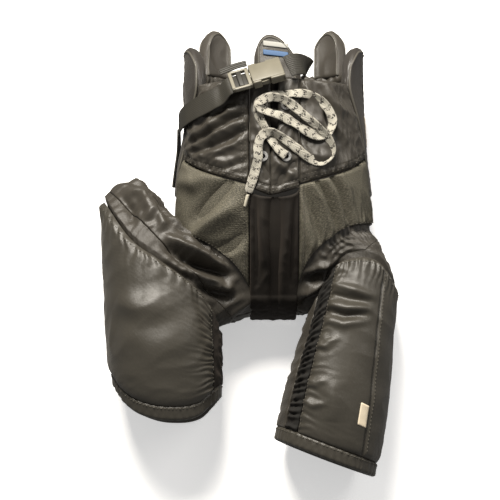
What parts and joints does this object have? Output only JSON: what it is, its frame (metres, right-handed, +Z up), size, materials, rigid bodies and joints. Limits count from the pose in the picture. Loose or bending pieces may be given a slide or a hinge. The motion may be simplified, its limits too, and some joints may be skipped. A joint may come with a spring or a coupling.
{
  "type": "hockey pants",
  "caption": "Padded ice hockey pants lying on their back: jointed thigh guards, fold-in back guards, a side-release belt buckle and a flat waist lace.",
  "frame": {"origin": "middle of the underside that the pants lie on", "axes": "+X across the waist towards the wearer's left, +Y from the leg hems to the waist, +Z up, out of the front of the pants"},
  "size_m": [0.3394, 0.5328, 0.1725],
  "materials": {
    "shell_nylon": "satin nylon with a fine weave",
    "abrasion_cloth": "coarse speckled weave",
    "stretch_jersey": "matt knit",
    "webbing": "ribbed weave",
    "hem_binding": "satin",
    "foam": "matt",
    "guard_plate": "satin",
    "lining": "matt mesh",
    "buckle_plastic": "satin",
    "eyelet_metal": "polished",
    "flat_lace": "flat braid with dark flecks",
    "aglet": "clear",
    "woven_label": "satin"
  },
  "bodies": {
    "hip": {"front_yoke_right": "shell_nylon", "front_thigh_panel_right": "abrasion_cloth", "side_panel_right": "shell_nylon", "hip_pad_right": "shell_nylon", "hip_plate_right": "guard_plate", "fly_facing_right": "shell_nylon", "eyelet_top_right": "eyelet_metal", "eyelet_bottom_right": "eyelet_metal", "front_yoke_left": "shell_nylon", "front_thigh_panel_left": "abrasion_cloth", "side_panel_left": "shell_nylon", "hip_pad_left": "shell_nylon", "hip_plate_left": "guard_plate", "fly_facing_left": "shell_nylon", "eyelet_top_left": "eyelet_metal", "eyelet_bottom_left": "eyelet_metal", "fly_tongue": "stretch_jersey", "groin_gusset": "stretch_jersey", "seat_cover": "shell_nylon", "tailbone_pad": "foam", "seat_lining": "lining", "belt_back_run": "webbing", "hip_label": "woven_label", "belt_front_run": "webbing", "belt_side_run": "webbing", "buckle_plug": "buckle_plastic", "belt_tail": "webbing", "lace": "flat_lace", "lace_aglet": "aglet"},
    "leg_right": {"thigh_cover_right": "shell_nylon", "thigh_plate_right": "guard_plate", "thigh_foam_right": "foam", "thigh_lining_right": "lining", "inner_thigh_right": "stretch_jersey", "leg_back_right": "shell_nylon", "hem_band_right": "hem_binding"},
    "leg_yoke_right": {"bridge_upper_right": "shell_nylon", "bridge_lower_right": "shell_nylon"},
    "kidney_guard_right": {"kidney_right_plate": "guard_plate", "kidney_right_pad": "shell_nylon"},
    "leg_left": {"thigh_cover_left": "shell_nylon", "thigh_plate_left": "guard_plate", "thigh_foam_left": "foam", "thigh_lining_left": "lining", "inner_thigh_left": "stretch_jersey", "leg_back_left": "shell_nylon", "hem_band_left": "hem_binding", "thigh_label": "woven_label"},
    "leg_yoke_left": {"bridge_upper_left": "shell_nylon", "bridge_lower_left": "shell_nylon"},
    "kidney_guard_left": {"kidney_left_plate": "guard_plate", "kidney_left_pad": "shell_nylon"},
    "spine_guard": {"spine_plate": "guard_plate", "spine_pad": "shell_nylon"},
    "buckle_socket": {"buckle_socket": "buckle_plastic", "belt_right_run": "webbing"},
    "prong_lower": {"buckle_prong_lower": "buckle_plastic"},
    "prong_upper": {"buckle_prong_upper": "buckle_plastic"}
  },
  "joints": [
    {"name": "leg_right_spread", "type": "hinge", "parent": "hip", "child": "leg_yoke_right", "pos_m": [-0.0704, 0.0199, 0.088], "axis": [0, 0, -1], "range_deg": [-6, 10], "deforming": ["bridge_upper_right", "bridge_lower_right"]},
    {"name": "leg_right_flex", "type": "hinge", "parent": "leg_yoke_right", "child": "leg_right", "pos_m": [-0.0704, 0.0199, 0.088], "axis": [-1, 0, 0], "range_deg": [0, 35], "deforming": ["bridge_upper_right", "bridge_lower_right"]},
    {"name": "leg_left_spread", "type": "hinge", "parent": "hip", "child": "leg_yoke_left", "pos_m": [0.1136, -0.0141, 0.088], "axis": [0, 0, 1], "range_deg": [-6, 10], "deforming": ["bridge_upper_left", "bridge_lower_left"]},
    {"name": "leg_left_flex", "type": "hinge", "parent": "leg_yoke_left", "child": "leg_left", "pos_m": [0.1136, -0.0141, 0.088], "axis": [-1, 0, 0], "range_deg": [0, 35], "deforming": ["bridge_upper_left", "bridge_lower_left"]},
    {"name": "spine_guard_fold", "type": "hinge", "parent": "hip", "child": "spine_guard", "pos_m": [0.0346, 0.2034, 0.013], "axis": [1, 0, 0], "range_deg": [-6, 20]},
    {"name": "kidney_guard_right_fold", "type": "hinge", "parent": "hip", "child": "kidney_guard_right", "pos_m": [-0.0349, 0.2034, 0.0229], "axis": [0.8432, 0, -0.5376], "range_deg": [-6, 18]},
    {"name": "kidney_guard_left_fold", "type": "hinge", "parent": "hip", "child": "kidney_guard_left", "pos_m": [0.092, 0.2034, 0.0229], "axis": [0.8432, 0, 0.5376], "range_deg": [-6, 18]},
    {"name": "buckle_release", "type": "slide", "parent": "hip", "child": "buckle_socket", "axis": [0.9613, 0.2756, 0], "range_m": [0, 0.026], "deforming": ["buckle_prong_lower", "buckle_prong_upper"]},
    {"name": "prong_lower_press", "type": "hinge", "parent": "hip", "child": "prong_lower", "pos_m": [0.0055, 0.1621, 0.1663], "axis": [-0.1581, 0.5514, 0.8191], "range_deg": [0, 7], "stiffness_Nm_per_rad": 0.05},
    {"name": "prong_upper_press", "type": "hinge", "parent": "hip", "child": "prong_upper", "pos_m": [0.0001, 0.181, 0.1525], "axis": [0.1581, -0.5514, -0.8191], "range_deg": [0, 7], "stiffness_Nm_per_rad": 0.05}
  ],
  "couplings": [
    {"joint": "prong_lower_press", "follows": "prong_upper_press", "ratio": 1}
  ]
}
